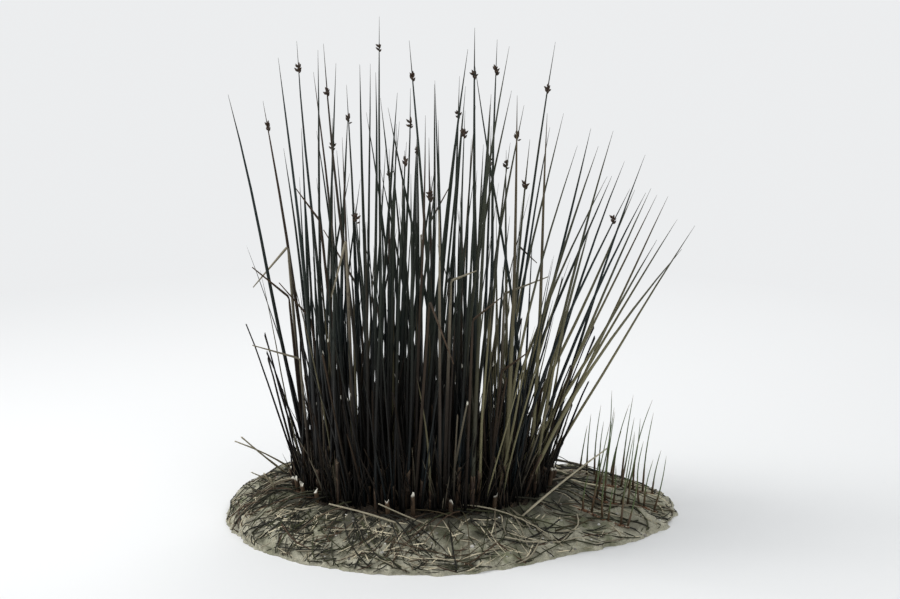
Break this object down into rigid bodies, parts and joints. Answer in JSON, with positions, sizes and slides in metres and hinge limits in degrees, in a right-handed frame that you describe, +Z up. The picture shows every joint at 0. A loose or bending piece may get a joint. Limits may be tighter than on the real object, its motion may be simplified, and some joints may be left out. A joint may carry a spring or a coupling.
{
  "type": "bulrush clump",
  "caption": "Dense clump of slender three-sided bulrush culms with small spikelet heads, fanning up from a flat root mat ringed with sand; leaning culms and runners on one side.",
  "frame": {"origin": "centre of the root mat's flat underside", "axes": "+Z up along the culms, which is the longest extent; +X towards the side with the leaning culms and the runners; -Y is the front seen in the picture"},
  "size_m": [1.0297, 0.7979, 1.0816],
  "materials": {
    "root_mat": "matt, fibrous",
    "sand": "matt, grainy",
    "green_culm": "satin",
    "sheath": "dull, scaly",
    "spikelet": "matt",
    "dead_culm": "dull",
    "straw": "dull",
    "stub": "dull",
    "runner": "dull",
    "shoot": "satin"
  },
  "bodies": {
    "root": {"root_mat": "root_mat", "sand_collar": "sand", "culms_right": "green_culm", "sheaths_right": "sheath", "heads_right": "spikelet", "culms_back_right": "green_culm", "sheaths_back_right": "sheath", "heads_back_right": "spikelet", "culms_back": "green_culm", "sheaths_back": "sheath", "heads_back": "spikelet", "culms_back_left": "green_culm", "sheaths_back_left": "sheath", "heads_back_left": "spikelet", "culms_left": "green_culm", "sheaths_left": "sheath", "heads_left": "spikelet", "culms_front_left": "green_culm", "sheaths_front_left": "sheath", "heads_front_left": "spikelet", "culms_front": "green_culm", "sheaths_front": "sheath", "heads_front": "spikelet", "culms_front_right": "green_culm", "sheaths_front_right": "sheath", "heads_front_right": "spikelet", "old_culms_right": "dead_culm", "old_culms_back": "dead_culm", "old_culms_left": "dead_culm", "old_culms_front": "dead_culm", "dead_culms": "dead_culm", "fallen_straw": "straw", "broken_stubs": "stub", "runner_1": "runner", "shoots_1": "shoot", "runner_2": "runner", "shoots_2": "shoot", "runner_3": "runner", "shoots_3": "shoot", "runner_4": "runner", "shoots_4": "shoot"}
  },
  "joints": []
}
